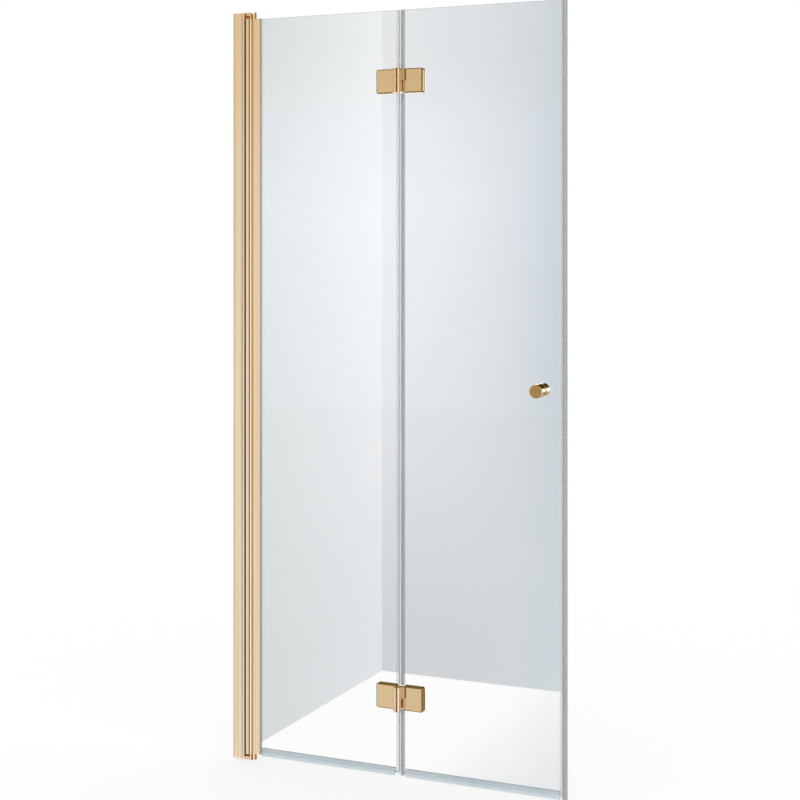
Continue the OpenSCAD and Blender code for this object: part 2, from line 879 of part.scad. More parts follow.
module knob_stud() {
    half = knob_y0 + stud_depth - end_play;
    color(steel) bar_y(knob_x, knob_z, -half, half, stud_r);
}

module knob_sleeve() {
    color(nylon) difference() {
        bar_y(knob_x, knob_z, -glass_half, glass_half, glass_hole_r - screw_fit);
        bar_y(knob_x, knob_z, -glass_t, glass_t, stud_r + screw_fit);
    }
}

module knob_washers() {
    color(clear_vinyl) for (y = [-knob_y0, glass_half]) difference() {
        bar_y(knob_x, knob_z, y, y + pad_t, knob_washer_r);
        bar_y(knob_x, knob_z, y - rim, y + pad_t + rim, stud_r + screw_fit);
    }
}

// Grub screw that locks the inner knob on the stud, with its socket underneath
module knob_set_screw() {
    tip_z = knob_z - stud_r - end_play;
    end_z = knob_z - knob_r + set_screw_recess;
    color(steel) difference() {
        translate([knob_x, set_screw_y, end_z]) cylinder(h = tip_z - end_z, r = set_screw_r);
        translate([knob_x, set_screw_y, end_z - rim]) {
            cylinder(h = set_screw_socket, r = 0.55 * set_screw_r, $fn = 6);
        }
    }
}

// Seals

// Outline in Y and Z: a channel round the glass edge, a wiper in front and a drip rail inside
module bottom_seal_section() {
    base_z = glass_z0 - seal_wall;
    slot_z = glass_z0 - seal_fit;
    grip_z = glass_z0 + bottom_grip;
    polygon([
        [-seal_half, seal_z0], [-seal_slot_half, seal_z0],
        [-seal_slot_half, base_z], [seal_slot_half, base_z],
        [seal_half + drip_reach - drip_edge, base_z - drip_reach],
        [seal_half + drip_reach, base_z - drip_reach + drip_edge],
        [seal_half, glass_z0], [seal_half, grip_z], [seal_slot_half, grip_z], [seal_slot_half, slot_z],
        [-seal_slot_half, slot_z], [-seal_slot_half, grip_z], [-seal_half, grip_z]
    ]);
}

module hinge_pane_bottom_seal() {
    x0 = clamp_x + soft_gap;
    x1 = hinge_pane_x1 - fin_overlap - 1;
    color(clear_vinyl) along_x(x0, x1) bottom_seal_section();
}

module fold_pane_bottom_seal() {
    x0 = fold_pane_x0 + fold_grip + seal_end_gap;
    x1 = fold_pane_x1 - strike_grip - soft_gap;
    color(clear_vinyl) along_x(x0, x1) bottom_seal_section();
}

// Channel round the folding pane's edge, with a fin that laps behind the other pane
module fold_seal_section() {
    difference() {
        band(fold_pane_x0 - seal_wall, fold_pane_x0 + fold_grip, seal_half);
        band(fold_pane_x0 - seal_fit, fold_pane_x0 + fold_grip + 1, seal_slot_half);
    }
    translate([hinge_pane_x1 - fin_overlap, glass_half + soft_gap]) {
        square([fin_overlap + pane_gap, seal_half - glass_half - soft_gap]);
    }
}

module fold_seal() {
    color(clear_vinyl) for (span = seal_spans) along_z(span[0], span[1]) fold_seal_section();
}

// Channel round the free glass edge, with a hollow bulb beyond it
module strike_seal() {
    bulb_x = fold_pane_x1 + seal_wall + bulb_r;
    color(clear_vinyl) along_z(seal_z0, glass_z1) {
        difference() {
            union() {
                band(fold_pane_x1 - strike_grip, fold_pane_x1 + seal_wall + 0.5, seal_half);
                translate([bulb_x, 0]) circle(bulb_r);
            }
            band(fold_pane_x1 - strike_grip - 1, fold_pane_x1 + seal_fit, seal_slot_half);
            translate([bulb_x, 0]) circle(bulb_r - bulb_wall);
        }
    }
}

wall_channel();
wall_post();
post_screws();
lower_bearing_block();
upper_bearing_block();
bearing_block_screws();
lower_pivot_pin();
upper_pivot_pin();
door_profile();
lower_pivot_bush();
upper_pivot_bush();
pivot_bush_screws();
lower_thrust_washer();
upper_thrust_washer();
front_glazing_gasket();
back_glazing_gasket();
glass_setting_blocks();
glass_carrier_block();
hinge_pane();
hinge_pane_bottom_seal();
lower_hinge_left_leaf();
lower_hinge_left_clamp();
lower_hinge_left_pads();
lower_hinge_left_sleeves();
lower_hinge_left_screws();
upper_hinge_left_leaf();
upper_hinge_left_clamp();
upper_hinge_left_pads();
upper_hinge_left_sleeves();
upper_hinge_left_screws();
fold_pane();
fold_pane_bottom_seal();
fold_seal();
strike_seal();
lower_hinge_right_leaf();
lower_hinge_right_clamp();
lower_hinge_right_pads();
lower_hinge_right_sleeves();
lower_hinge_right_screws();
lower_hinge_pin();
lower_hinge_washer();
upper_hinge_right_leaf();
upper_hinge_right_clamp();
upper_hinge_right_pads();
upper_hinge_right_sleeves();
upper_hinge_right_screws();
upper_hinge_pin();
upper_hinge_washer();
outer_knob();
inner_knob();
knob_stud();
knob_sleeve();
knob_washers();
knob_set_screw();
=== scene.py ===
import json
import math

import bmesh
import bpy
from mathutils import Matrix, Vector


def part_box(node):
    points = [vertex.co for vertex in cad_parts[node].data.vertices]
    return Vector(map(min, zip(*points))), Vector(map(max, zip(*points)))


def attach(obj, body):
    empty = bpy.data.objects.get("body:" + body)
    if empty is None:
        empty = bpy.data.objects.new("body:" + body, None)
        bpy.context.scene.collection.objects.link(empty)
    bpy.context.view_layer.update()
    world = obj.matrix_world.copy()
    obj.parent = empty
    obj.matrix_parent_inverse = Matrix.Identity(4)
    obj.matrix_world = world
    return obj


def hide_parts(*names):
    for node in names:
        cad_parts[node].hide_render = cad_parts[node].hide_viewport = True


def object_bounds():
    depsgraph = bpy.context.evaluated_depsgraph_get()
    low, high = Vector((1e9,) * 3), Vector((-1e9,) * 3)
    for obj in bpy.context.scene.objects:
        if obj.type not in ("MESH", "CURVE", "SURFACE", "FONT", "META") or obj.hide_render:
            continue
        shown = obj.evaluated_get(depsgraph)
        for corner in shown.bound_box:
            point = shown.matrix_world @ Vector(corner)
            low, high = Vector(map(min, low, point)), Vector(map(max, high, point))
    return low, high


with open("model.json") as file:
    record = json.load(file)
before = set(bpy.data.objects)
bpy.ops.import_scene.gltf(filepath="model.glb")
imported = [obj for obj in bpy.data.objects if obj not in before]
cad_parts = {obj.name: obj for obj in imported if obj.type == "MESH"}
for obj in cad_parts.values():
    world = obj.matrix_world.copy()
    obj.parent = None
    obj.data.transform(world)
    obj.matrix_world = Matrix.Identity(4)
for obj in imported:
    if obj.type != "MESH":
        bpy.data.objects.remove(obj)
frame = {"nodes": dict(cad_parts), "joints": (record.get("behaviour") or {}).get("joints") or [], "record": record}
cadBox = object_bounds()
cad = frame["nodes"]
parts = {part["node"]: part["material_slot"] for part in frame["record"]["subparts"]}
bodyOf = {node: body for body, nodes in frame["record"]["behaviour"]["bodies"].items() for node in nodes}
hingeAxes = {joint["name"]: Vector(joint["pos_m"]) for joint in frame["joints"]}
mm = 0.001
print("frame loaded:", len(cad), "nodes")

scene = bpy.context.scene
scene.view_settings.view_transform = "Standard"


# camera, fitted to the photograph's converging edges
photoView = {
    "eye": (2.0216, -3.5371, 1.3025),  # metres, in the door's frame
    "turn": 23.86,                     # degrees left of straight at the glass
    "focalPixels": 1583.0,
    "imagePixels": 800.0,
    "horizonRow": 245.6,               # counted down from the top
    "sensorMm": 36.0,
}


def placeCamera(view):
    lens = bpy.data.cameras.new("photoCamera")
    lens.sensor_width = view["sensorMm"]
    lens.lens = view["focalPixels"] / view["imagePixels"] * view["sensorMm"]
    lens.shift_y = (view["horizonRow"] - view["imagePixels"] / 2) / view["imagePixels"]
    lens.clip_end = 60.0
    eye = bpy.data.objects.new("photoCamera", lens)
    eye.location = view["eye"]
    eye.rotation_euler = (math.radians(90), 0, math.radians(view["turn"]))
    scene.collection.objects.link(eye)
    scene.camera = eye


placeCamera(photoView)
print("camera placed")


# an sRGB hex code as a linear colour, times a level
def linearColour(code, level=1.0):
    channels = [int(code[i:i + 2], 16) / 255 for i in (1, 3, 5)]
    linear = [c / 12.92 if c <= 0.04045 else ((c + 0.055) / 1.055) ** 2.4 for c in channels]
    return [level * c for c in linear] + [1.0]


# adds a node; a setting goes to the socket of that name or number, or else to the node itself
def addNode(tree, kind, settings=None, links=None):
    node = tree.nodes.new(kind)
    for name, value in (settings or {}).items():
        if isinstance(name, int) or name in node.inputs:
            node.inputs[name].default_value = value
        else:
            setattr(node, name, value)
    for name, source in (links or {}).items():
        tree.links.new(source, node.inputs[name])
    return node


# a Mix node's sockets for colour go by number: two tones in, the mixed one out
mixFirst, mixSecond, mixed = 6, 7, 2


def newMaterial(name):
    material = bpy.data.materials.new(name)
    material.use_nodes = True
    material.node_tree.nodes.clear()
    return material, material.node_tree


def closeMaterial(tree, shader, bump=None):
    if bump is not None:
        tree.links.new(bump.outputs["Normal"], shader.inputs["Normal"])
    addNode(tree, "ShaderNodeOutputMaterial", links={"Surface": shader.outputs[0]})


# stops are (position, colour code) or (position, colour code, level)
def setRamp(ramp, stops):
    elements = ramp.color_ramp.elements
    while len(elements) < len(stops):
        elements.new(1.0)
    for element, stop in zip(elements, stops):
        element.position = stop[0]
        element.color = linearColour(*stop[1:])


# what the finishes share: bump strengths, how fine their noise is, how little vinyl mirrors, and where the
# values of a noise mostly lie, for clouds of two and of three tones
surface = {
    "metalBump": 0.3, "mouldedBump": 0.2, "cloudDetail": 2.0, "grainDetail": 4.0, "vinylGloss": 0.15,
    "twoTones": (0.35, 0.65), "threeTones": (0.3, 0.5, 0.7),
}
even = (1, 1, 1)


# noise in real millimetres; stretch below 1 draws it out along an axis
def surfaceNoise(tree, sizeMm, stretch=even, detail=surface["cloudDetail"]):
    coords = addNode(tree, "ShaderNodeTexCoord")
    mapping = addNode(tree, "ShaderNodeMapping", {"Scale": stretch}, {"Vector": coords.outputs["Object"]})
    return addNode(tree, "ShaderNodeTexNoise", {"Scale": 1 / (sizeMm * mm), "Detail": detail},
                   {"Vector": mapping.outputs[0]})


# the tones of a cloud, each at its place in the noise
def cloudStops(look, places, *tones):
    return [(place, look[tone]) for place, tone in zip(surface[places], tones)]


# metals: a slow cloud in the colour, a finer grain in the gloss and the bump; blasting and brushing leave
# marks of about 0.1 mm, which are drawn at 0.4 to 0.8 mm so that they show
def metal(name, look):
    material, tree = newMaterial(name)
    cloud = surfaceNoise(tree, look["cloudMm"], look["cloudStretch"])
    grain = surfaceNoise(tree, look["grainMm"], look["grainStretch"], surface["grainDetail"])
    colour = addNode(tree, "ShaderNodeValToRGB", links={"Fac": cloud.outputs["Fac"]})
    setRamp(colour, cloudStops(look, "threeTones", "dark", "tone", "light"))
    low, high = look["roughness"] - look["spread"], look["roughness"] + look["spread"]
    rough = addNode(tree, "ShaderNodeMapRange", {"To Min": low, "To Max": high},
                    {"Value": grain.outputs["Fac"]})
    bump = addNode(tree, "ShaderNodeBump",
                   {"Strength": surface["metalBump"], "Distance": look["depthMm"] * mm},
                   {"Height": grain.outputs["Fac"]})
    shader = addNode(tree, "ShaderNodeBsdfPrincipled", {"Metallic": 1.0},
                     {"Base Color": colour.outputs["Color"], "Roughness": rough.outputs[0]})
    closeMaterial(tree, shader, bump)
    return material


# plastics and rubbers: two close tones and a faint moulded skin
def plastic(name, look):
    material, tree = newMaterial(name)
    cloud = surfaceNoise(tree, look["cloudMm"])
    grain = surfaceNoise(tree, look["grainMm"])
    colour = addNode(tree, "ShaderNodeValToRGB", links={"Fac": cloud.outputs["Fac"]})
    setRamp(colour, cloudStops(look, "twoTones", "dark", "tone"))
    bump = addNode(tree, "ShaderNodeBump",
                   {"Strength": surface["mouldedBump"], "Distance": look["depthMm"] * mm},
                   {"Height": grain.outputs["Fac"]})
    shader = addNode(tree, "ShaderNodeBsdfPrincipled",
                     {"Roughness": look["roughness"], "IOR": look["ior"]},
                     {"Base Color": colour.outputs["Color"]})
    closeMaterial(tree, shader, bump)
    return material


# extruded vinyl, clear face on and milky where it is seen along its skin
def clearVinyl(name, look):
    material, tree = newMaterial(name)
    cloud = surfaceNoise(tree, look["cloudMm"], look["cloudStretch"])
    colour = addNode(tree, "ShaderNodeValToRGB", links={"Fac": cloud.outputs["Fac"]})
    setRamp(colour, cloudStops(look, "twoTones", "dark", "tone"))
    facing = addNode(tree, "ShaderNodeLayerWeight", {"Blend": 0.5})
    veil = addNode(tree, "ShaderNodeMapRange", {"To Min": look["faceVeil"], "To Max": look["edgeVeil"]},
                   {"Value": facing.outputs["Facing"]})
    shader = addNode(tree, "ShaderNodeBsdfPrincipled",
                     {"Roughness": look["roughness"], "IOR": look["ior"],
                      "Specular IOR Level": surface["vinylGloss"]},
                     {"Base Color": colour.outputs["Color"], "Alpha": veil.outputs[0]})
    closeMaterial(tree, shader)
    return material


# glass with hardly any colour of its own
def glass(name, look):
    material, tree = newMaterial(name)
    cloud = surfaceNoise(tree, look["cloudMm"])
    colour = addNode(tree, "ShaderNodeValToRGB", links={"Fac": cloud.outputs["Fac"]})
    setRamp(colour, cloudStops(look, "twoTones", "dark", "tone"))
    shader = addNode(tree, "ShaderNodeBsdfPrincipled",
                     {"Roughness": look["roughness"], "IOR": look["ior"],
                      "Transmission Weight": look["clear"]},
                     {"Base Color": colour.outputs["Color"]})
    closeMaterial(tree, shader)
    return material


# what the faces of an extrusion share: fine lines that the die leaves down its length
dieLines = {
    "roughness": 0.21, "spread": 0.02, "cloudMm": 30.0, "cloudStretch": (1, 1, 0.05),
    "grainMm": 0.8, "grainStretch": (1, 1, 0.02), "depthMm": 0.002,
}
# aluminium extrusion, bead blasted and anodised gold: soft wide highlights, faint lines from the die
satinGold = metal("anodisedSatinGold", dieLines | {
    "tone": "#E3CFB1", "dark": "#DCC49F", "light": "#EAD9C0", "cloudMm": 3.0, "cloudStretch": (1, 1, 0.004),
})
# the same extrusion on its corners and the ends of its lips, in a deeper gold that is painted reflection of dark
# surroundings
edgeReflectionGold = metal("anodisedEdgeGold", dieLines | {
    "tone": "#D2AC6E", "dark": "#CCA566", "light": "#D8B377",
})
# the same extrusion round its corners at the wall, in its deepest tone: painted reflection of dark surroundings
cornerReflectionGold = metal("anodisedCornerGold", dieLines | {
    "tone": "#B88F55", "dark": "#B1884E", "light": "#BF965C",
})
# the same extrusion on the nose's two flanks at the seat's mouth, nearly black: painted shade of the gap between
# post and door
paintedShadeGold = metal("oiledNoseGold", dieLines | {
    "tone": "#35280F", "dark": "#2E220C", "light": "#3C2E13", "roughness": 0.25, "spread": 0.04,
})
# brass plate, plated and brushed along its length: an even light gold whose fine lines soften reflections
brushedGold = metal("brushedPlateGold", {
    "tone": "#DFC49B", "dark": "#DEC299", "light": "#E0C69E", "roughness": 0.24, "spread": 0.01,
    "cloudMm": 6.0, "cloudStretch": (0.12, 1, 1), "grainMm": 0.4, "grainStretch": (0.05, 1, 1),
    "depthMm": 0.001,
})
# the same plating polished, on edges, barrels and rims: sharp bright and dark bands
polishedGold = metal("polishedPlateGold", {
    "tone": "#DCC29C", "dark": "#D8BC94", "light": "#E0C8A4", "roughness": 0.07, "spread": 0.02,
    "cloudMm": 12.0, "cloudStretch": even, "grainMm": 0.6, "grainStretch": even, "depthMm": 0.001,
})
# polished plating on the leaves' side bevels, in a deeper tone that is painted reflection of dark surroundings
bevelReflectionGold = metal("polishedBevelGold", {
    "tone": "#6E5227", "dark": "#664B22", "light": "#76592D", "roughness": 0.12, "spread": 0.03,
    "cloudMm": 10.0, "cloudStretch": even, "grainMm": 0.6, "grainStretch": even, "depthMm": 0.001,
})
# turned brass, plated and brushed on the knobs' faces: a deep gold with a soft sheen
turnedGold = metal("turnedKnobGold", {
    "tone": "#BF9860", "dark": "#B68F57", "light": "#C8A16B", "roughness": 0.27, "spread": 0.05,
    "cloudMm": 4.0, "cloudStretch": even, "grainMm": 0.4, "grainStretch": even, "depthMm": 0.003,
})
# plated steel screws, with a slightly uneven tumbled finish
platedScrew = metal("platedScrewGold", {
    "tone": "#CDAA74", "dark": "#C5A16A", "light": "#D4B27E", "roughness": 0.22, "spread": 0.04,
    "cloudMm": 2.0, "cloudStretch": even, "grainMm": 0.4, "grainStretch": even, "depthMm": 0.01,
})
# ground stainless steel pins and stud: fine rings round the bar
groundSteel = metal("groundStainlessSteel", {
    "tone": "#BDBEC0", "dark": "#B4B5B7", "light": "#C6C7C9", "roughness": 0.25, "spread": 0.05,
    "cloudMm": 8.0, "cloudStretch": even, "grainMm": 0.4, "grainStretch": (0.05, 0.05, 1),
    "depthMm": 0.01,
})
# mill-finish aluminium of the wall channel: dull, with long lines from the die
millAluminium = metal("millAluminium", dieLines | {
    "tone": "#C3C5C7", "dark": "#B9BBBD", "light": "#CDCFD1", "roughness": 0.4, "spread": 0.05,
    "cloudMm": 20.0, "depthMm": 0.01,
})
# moulded nylon of bushes, washers, sleeves and blocks: off-white, half matt
nylon = plastic("mouldedNylon", {
    "tone": "#E8E6DF", "dark": "#E0DED6", "roughness": 0.45, "ior": 1.53, "cloudMm": 12.0, "grainMm": 1.0,
    "depthMm": 0.02,
})
# extruded rubber gasket: pale grey and matt
gasketRubber = plastic("extrudedGasketRubber", {
    "tone": "#B6BAB7", "dark": "#ABB0AD", "roughness": 0.6, "ior": 1.52, "cloudMm": 15.0, "grainMm": 1.0,
    "depthMm": 0.03,
})
# clear vinyl of the upright seals, and a milkier grade for the sweeps under the panes
sealVinyl = clearVinyl("extrudedClearVinyl", {
    "tone": "#E8EEF1", "dark": "#E0E7EB", "roughness": 0.2, "ior": 1.45, "faceVeil": 0.2, "edgeVeil": 0.5,
    "cloudMm": 25.0, "cloudStretch": (1, 1, 0.1),
})
sweepVinyl = clearVinyl("extrudedMilkyVinyl", {
    "tone": "#DCE8EE", "dark": "#D5E2E9", "roughness": 0.25, "ior": 1.45, "faceVeil": 0.6, "edgeVeil": 0.85,
    "cloudMm": 25.0, "cloudStretch": (0.1, 1, 1),
})
# a grey grade on the seals' clips and bulb, which is painted shade in the clear vinyl
paintedShadeVinyl = clearVinyl("extrudedSmokedVinyl", {
    "tone": "#B2B9BE", "dark": "#AAB1B7", "roughness": 0.2, "ior": 1.45, "faceVeil": 0.3, "edgeVeil": 0.85,
    "cloudMm": 25.0, "cloudStretch": (1, 1, 0.1),
})
# soft clear pads between metal and glass: hardly seen face on, darker along their edges; their dark grey tone is
# painted shade between plate and glass
paintedShadePadVinyl = clearVinyl("clearPadVinyl", {
    "tone": "#7E7F7C", "dark": "#757673", "roughness": 0.3, "ior": 1.45, "faceVeil": 0.06, "edgeVeil": 0.5,
    "cloudMm": 6.0, "cloudStretch": even,
})
# float glass, toughened, on its two faces, and its edges ground with a fine wheel
floatGlass = glass("toughenedFloatGlass", {
    "tone": "#FDFDFE", "dark": "#FBFCFD", "roughness": 0.0, "ior": 1.5, "clear": 1.0, "cloudMm": 300.0,
})
groundEdge = glass("groundGlassEdge", {
    "tone": "#EDF3F1", "dark": "#E6EEEC", "roughness": 0.5, "ior": 1.5, "clear": 0.35, "cloudMm": 4.0,
})

finishes = {
    "satin_gold_extrusion": satinGold, "mill_aluminium": millAluminium, "brushed_gold": brushedGold,
    "gold_screw": platedScrew, "steel_pin": groundSteel, "white_nylon": nylon, "grey_gasket": gasketRubber,
    "clear_vinyl": sealVinyl, "clear_pad": paintedShadePadVinyl, "clear_glass": floatGlass,
}
for node, slotName in parts.items():
    cad[node].data.materials.clear()
    cad[node].data.materials.append(finishes[slotName])
print("materials made")


# what the modelling helpers share: distances in millimetres, angles in degrees; a face looks straight along
# an axis where its normal's share of it is above straightOn
meshing = {
    "joinOutline": 0.001, "joinCad": 0.002, "endWithin": 0.01, "flatBelow": 0.5, "smoothBelow": 32,
    "easeAbove": 28, "screwEaseAbove": 40, "squareAbove": 60, "straightOn": 0.98,
}


# a node's name in camel case, as its piece has it
def pieceName(node):
    words = node.split("_")
    return words[0] + "".join(word.capitalize() for word in words[1:])


# outlines are drawn in millimetres, as a pen would
def penDown(x, y, height):
    bm = bmesh.new()
    return bm, bm.verts.new((x * mm, y * mm, height))


def penLine(bm, pen, x, y):
    pen = bmesh.ops.extrude_vert_indiv(bm, verts=[pen])["verts"][0]
    pen.co.x, pen.co.y = x * mm, y * mm
    return pen


def penArc(bm, pen, x, y, degrees, steps):
    turned = bmesh.ops.spin(bm, geom=[pen], cent=(x * mm, y * mm, pen.co.z), axis=(0, 0, 1),
                            angle=math.radians(degrees), steps=steps)
    return [v for v in turned["geom_last"] if isinstance(v, bmesh.types.BMVert)][0]


def mergeMesh(bm, joinMm):
    bmesh.ops.remove_doubles(bm, verts=bm.verts, dist=joinMm * mm)


def joinFlatFaces(bm):
    flat = math.radians(meshing["flatBelow"])
    bmesh.ops.dissolve_limit(bm, angle_limit=flat, verts=bm.verts, edges=bm.edges)


# fills a drawn outline, holes left open, and raises it to a bar
def raiseBar(bm, height):
    mergeMesh(bm, meshing["joinOutline"])
    bmesh.ops.triangle_fill(bm, use_beauty=True, use_dissolve=False, edges=bm.edges)
    grown = bmesh.ops.extrude_face_region(bm, geom=bm.faces[:])
    raised = [v for v in grown["geom"] if isinstance(v, bmesh.types.BMVert)]
    bmesh.ops.translate(bm, vec=(0, 0, height), verts=raised)
    joinFlatFaces(bm)
    bmesh.ops.recalc_face_normals(bm, faces=bm.faces)


# a CAD node's mesh as a bmesh, its loose triangles joined into clean faces
def fromCad(node):
    bm = bmesh.new()
    bm.from_mesh(cad[node].data)
    mergeMesh(bm, meshing["joinCad"])
    joinFlatFaces(bm)
    return bm


# rounds every edge sharper than an angle that lies where the test says
def easeEdges(bm, widthMm, sharperThan=meshing["easeAbove"], where=None, segments=2):
    sharp = [e for e in bm.edges if len(e.link_faces) == 2
             and e.calc_face_angle(0) > math.radians(sharperThan) and (where is None or where(e))]
    bmesh.ops.bevel(bm, geom=sharp, offset=widthMm * mm, offset_type="OFFSET", segments=segments,
                    profile=0.5, affect="EDGES", clamp_overlap=True, material=-1)


def makePiece(name, bm, materials, smoothBelow=meshing["smoothBelow"]):
    mesh = bpy.data.meshes.new(name)
    bm.to_mesh(mesh)
    bm.free()
    for material in materials:
        mesh.materials.append(material)
    mesh.shade_smooth()
    mesh.set_sharp_from_angle(angle=math.radians(smoothBelow))
    piece = bpy.data.objects.new(name, mesh)
    scene.collection.objects.link(piece)
    return piece


# puts a finished piece in its CAD node's place; wide faces keep their own normals beside small bevels
def standFor(piece, node):
    steady = piece.modifiers.new("steadyNormals", "WEIGHTED_NORMAL")
    steady.keep_sharp = True
    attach(piece, bodyOf[node])
    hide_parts(node)


# cuts one mesh out of another, drops the cutter and finds the new sharp edges
def carve(piece, cutter):
    cut = piece.modifiers.new("carve", "BOOLEAN")
    cut.operation = "DIFFERENCE"
    cut.solver = "EXACT"
    cut.object = cutter
    carved = bpy.data.meshes.new_from_object(piece.evaluated_get(bpy.context.evaluated_depsgraph_get()))
    piece.modifiers.clear()
    piece.data = carved
    bpy.data.objects.remove(cutter)
    carved.set_sharp_from_angle(angle=math.radians(meshing["smoothBelow"]))


def circleHalfHeight(radius, across):
    return math.sqrt(radius ** 2 - across ** 2)


# eases only the edges round a bar's two ends
def easeEnds(bm, low, high, widthMm):
    def atEnd(vert):
        return min(abs(vert.co.z - low.z), abs(vert.co.z - high.z)) < meshing["endWithin"] * mm

    easeEdges(bm, widthMm, meshing["squareAbove"], lambda edge: all(atEnd(v) for v in edge.verts))


# shares of a face's normal along +X from which an extrusion's faces change to a darker tone of painted reflection
# and shade
extrusionGrades = {"edgeFrom": 0.8, "wallSideFrom": 0.1}


# faces that look away from the wall, which are corners and lip ends, take the second material, and those
# that look at the wall the third; both are darker tones that paint reflection and shade on the same gold
def gradeExtrusion(piece, size):
    for face in piece.data.polygons:
        if face.normal.x > size["edgeFrom"]:
            face.material_index = 1
        elif -face.normal.x > size["wallSideFrom"]:
            face.material_index = 2


# wall post: a gold extrusion with a mouth towards the wall, and down its front a hollow round seat
# between two thin rims
wallPost = {
    "frontRadius": 2.5, "wallRadius": 5.5, "wall": 2.0, "mouthHalf": 16.0, "seatRadius": 22.5,
    "rimReach": 4.5, "rimStep": 2.5, "cornerSteps": 8, "seatSteps": 36, "endBevel": 0.25,
}
pivotX = hingeAxes["wall_pivot"].x / mm


# angle from level at which a circle's side is cut by the post's mouth
def mouthAngle(radius, rise):
    return math.degrees(math.asin(rise / radius))


def buildWallPost(size, node):
    low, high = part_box(node)
    tip, half = high.x / mm, high.y / mm
    depth = tip - size["rimReach"]
    rimY = half - size["rimStep"]
    front, back, wall, mouth = size["frontRadius"], size["wallRadius"], size["wall"], size["mouthHalf"]
    seat, steps = size["seatRadius"], size["cornerSteps"]
    middle = half - back
    inner = back - wall
    outerX = back - circleHalfHeight(back, mouth - middle)
    innerX = back - circleHalfHeight(inner, mouth - middle)
    outerTurn = 90 - mouthAngle(back, mouth - middle)
    innerTurn = 90 - mouthAngle(inner, mouth - middle)
    seatY = circleHalfHeight(seat, pivotX - tip)
    seatTurn = 2 * math.degrees(math.atan2(seatY, pivotX - tip))
    webX = depth - wall
    webY = circleHalfHeight(seat + wall, pivotX - webX)
    webTurn = 2 * math.degrees(math.atan2(webY, pivotX - webX))
    bm, pen = penDown(outerX, mouth, low.z)
    pen = penArc(bm, pen, back, middle, -outerTurn, steps)
    pen = penLine(bm, pen, depth - front, half)
    pen = penArc(bm, pen, depth - front, half - front, -90, steps)
    for x, y in ((tip, rimY), (tip, seatY)):
        pen = penLine(bm, pen, x, y)
    pen = penArc(bm, pen, pivotX, 0, seatTurn, size["seatSteps"])
    for x, y in ((tip, -rimY), (depth, -rimY)):
        pen = penLine(bm, pen, x, y)
    pen = penArc(bm, pen, depth - front, front - half, -90, steps)
    pen = penLine(bm, pen, back, -half)
    pen = penArc(bm, pen, back, -middle, -outerTurn, steps)
    pen = penLine(bm, pen, innerX, -mouth)
    pen = penArc(bm, pen, back, -middle, innerTurn, steps)
    for x, y in ((webX, wall - half), (webX, -webY)):
        pen = penLine(bm, pen, x, y)
    pen = penArc(bm, pen, pivotX, 0, -webTurn, size["seatSteps"])
    for x, y in ((webX, half - wall), (back, half - wall)):
        pen = penLine(bm, pen, x, y)
    pen = penArc(bm, pen, back, middle, innerTurn, steps)
    penLine(bm, pen, outerX, mouth)
    raiseBar(bm, high.z - low.z)
    easeEnds(bm, low, high, size["endBevel"])
    post = makePiece(pieceName(node), bm, [satinGold, edgeReflectionGold, cornerReflectionGold])
    gradeExtrusion(post, extrusionGrades)
    standFor(post, node)


buildWallPost(wallPost, "wall_post")
print("wall post made")


# door profile: a round nose that turns in the seat, rounded shoulders and a slotted clamp for the glass,
# whose lip behind the glass is the shorter one
doorProfile = {
    "noseRadius": 22.0, "shoulderRadius": 8.0, "shoulderOff": 2.0, "clampHalf": 12.0, "clampEdge": 1.5,
    "backReach": 20.0, "slotHalf": 9.0, "slotX": 57.0, "wall": 2.0, "chamberX": 55.0, "chamberHalf": 9.5,
    "noseSteps": 40, "shoulderSteps": 14, "edgeSteps": 4, "endBevel": 0.25,
    "screwOff": 3.5, "screwRise": 15.0, "screwHead": 3.5, "screwShank": 1.85,
    "sinkPast": 0.1, "sinkSides": 32,
    "noseWithin": 0.1,   # a face this near to the nose's radius belongs to the nose
    "oiledFrom": 13.5,   # its flanks carry painted shade from here outwards
}


